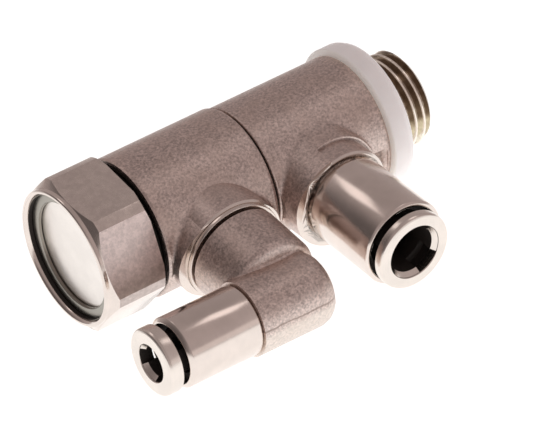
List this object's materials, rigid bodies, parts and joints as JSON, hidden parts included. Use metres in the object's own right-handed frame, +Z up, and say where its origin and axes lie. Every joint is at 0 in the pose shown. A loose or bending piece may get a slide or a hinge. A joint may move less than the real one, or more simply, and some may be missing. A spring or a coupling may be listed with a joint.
{
  "type": "pilot-operated flow control valve fitting",
  "caption": "Nickel-plated banjo valve: male port thread with nylon washer, hexagon head, swivelling ring with straight push-in connector and swivelling ring with elbow push-in connector.",
  "frame": {"origin": "on the main axis, at the face of the seal washer that meets the port", "axes": "+X along the port thread, out of the valve; +Z up as the valve lies on a table; the connectors point towards -Y"},
  "size_m": [0.057, 0.0378, 0.0219],
  "materials": {
    "nickel_cast": "matt nickel plate over a cast and tumbled brass surface, fine sparkling grain",
    "nickel_turned": "nickel plate over turned and milled brass, fine turning lines",
    "nickel_bright": "bright turned nickel plate",
    "spring_steel": "spring steel, bright drawn",
    "brass": "plain turned brass",
    "black_rubber": "black nitrile rubber",
    "black_plastic": "black sliding washer",
    "white_nylon": "milky translucent nylon, satin"
  },
  "bodies": {
    "stem": {"valve_stem": "nickel_turned", "port_seal_washer": "white_nylon", "hex_face_seal": "black_rubber", "ring_spacer": "black_plastic", "stem_seal_a": "black_rubber", "stem_seal_b": "black_rubber", "stem_seal_c": "black_rubber", "stem_seal_d": "black_rubber", "end_plug": "nickel_bright", "end_plug_seal": "black_rubber", "plug_retaining_ring": "spring_steel", "rod_seal": "black_rubber", "poppet_spring": "spring_steel", "spring_retainer": "brass"},
    "piston": {"pilot_piston": "brass", "piston_seal": "black_rubber"},
    "poppet": {"poppet": "brass", "poppet_seal": "black_rubber"},
    "supply_ring": {"supply_banjo": "nickel_cast", "supply_sleeve": "nickel_turned", "supply_tube_seal": "black_rubber", "supply_grip_ring": "spring_steel"},
    "supply_release": {"supply_collet": "nickel_bright"},
    "pilot_ring": {"pilot_banjo": "nickel_cast"},
    "elbow": {"elbow_body": "nickel_cast", "elbow_seal": "black_rubber", "elbow_collar_ring": "nickel_turned", "elbow_clip": "spring_steel", "pilot_sleeve": "nickel_turned", "pilot_tube_seal": "black_rubber", "pilot_grip_ring": "spring_steel"},
    "pilot_release": {"pilot_collet": "nickel_bright"}
  },
  "joints": [
    {"name": "piston_stroke", "type": "slide", "parent": "stem", "child": "piston", "axis": [1, 0, 0], "range_m": [0, 0.002]},
    {"name": "poppet_lift", "type": "slide", "parent": "stem", "child": "poppet", "axis": [1, 0, 0], "range_m": [0, 0.002], "stiffness_N_per_m": 400, "springref_m": -0.002, "deforming": ["poppet_spring"]},
    {"name": "supply_swivel", "type": "hinge", "parent": "stem", "child": "supply_ring", "pos_m": [-0.01324, 0, 0], "axis": [1, 0, 0], "continuous": true},
    {"name": "pilot_swivel", "type": "hinge", "parent": "stem", "child": "pilot_ring", "pos_m": [-0.03012, 0, 0], "axis": [1, 0, 0], "continuous": true},
    {"name": "elbow_swivel", "type": "hinge", "parent": "pilot_ring", "child": "elbow", "pos_m": [-0.03012, 0, 0], "axis": [0, -0.9673, -0.2538], "range_deg": [-90, 90]},
    {"name": "supply_release_press", "type": "slide", "parent": "supply_ring", "child": "supply_release", "axis": [0, 0.9823, 0.1874], "range_m": [0, 0.00065], "stiffness_N_per_m": 500, "springref_m": -0.001},
    {"name": "pilot_release_press", "type": "slide", "parent": "elbow", "child": "pilot_release", "axis": [0.9997, 0.0062, -0.0236], "range_m": [0, 0.0008], "stiffness_N_per_m": 500, "springref_m": -0.001}
  ],
  "couplings": [
    {"joint": "poppet_lift", "follows": "piston_stroke", "ratio": 1}
  ]
}
